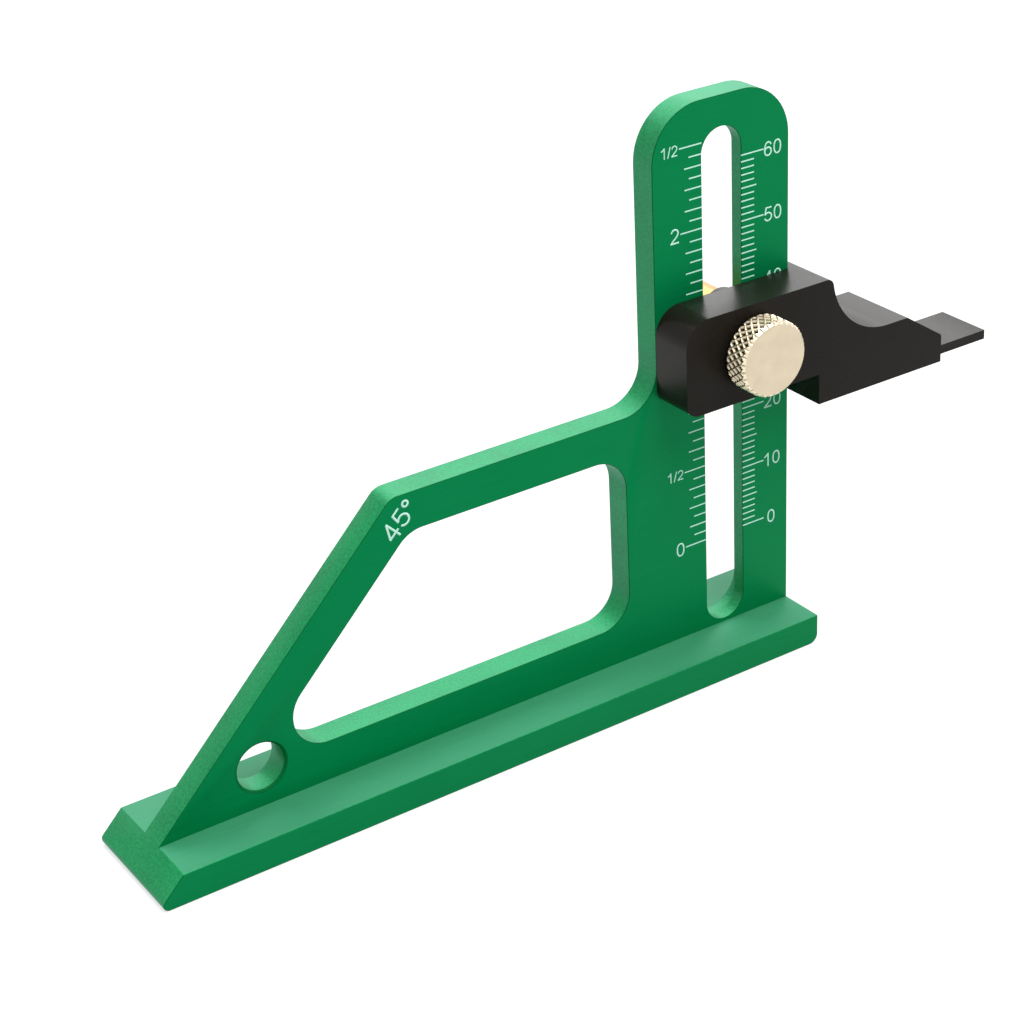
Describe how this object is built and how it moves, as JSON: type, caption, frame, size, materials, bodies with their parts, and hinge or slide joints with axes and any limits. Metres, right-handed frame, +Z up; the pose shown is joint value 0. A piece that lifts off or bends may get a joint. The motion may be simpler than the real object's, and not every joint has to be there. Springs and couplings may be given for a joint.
{
  "type": "woodworking depth gauge",
  "caption": "Woodworking depth gauge: a flat base with a 45 degree end, a slotted upright column and a sliding pointer with a thin tongue, clamped by a knurled thumb screw.",
  "frame": {"origin": "middle of the base's underside, on the centre plane of the upright plate", "axes": "+X along the base towards the pointer, +Y from the scale face to the back, +Z up"},
  "size_m": [0.1481, 0.0242, 0.0903],
  "materials": {
    "green_anodised": "fine blasted, green anodised",
    "black_anodised": "fine blasted, black anodised",
    "nickel_plate": "nickel plated, turned and knurled",
    "brass": "turned"
  },
  "bodies": {
    "frame": {"gauge_frame": "green_anodised"},
    "slider": {"slider": "black_anodised"},
    "thumb_screw": {"thumb_screw": "nickel_plate"},
    "clamp_nut": {"clamp_nut": "brass"}
  },
  "joints": [
    {"name": "slider_slide", "type": "slide", "parent": "frame", "child": "slider", "axis": [0, 0, 1], "range_m": [-0.0412, 0.0243]},
    {"name": "screw_turn", "type": "hinge", "parent": "slider", "child": "thumb_screw", "pos_m": [0.0456, -0.0096, 0.0537], "axis": [0, -1, 0], "range_deg": [0, 540.1]},
    {"name": "nut_travel", "type": "slide", "parent": "slider", "child": "clamp_nut", "axis": [0, 1, 0], "range_m": [0, 0.00105]}
  ],
  "couplings": [
    {"joint": "screw_turn", "follows": "nut_travel", "rad_per_m": 8976}
  ]
}
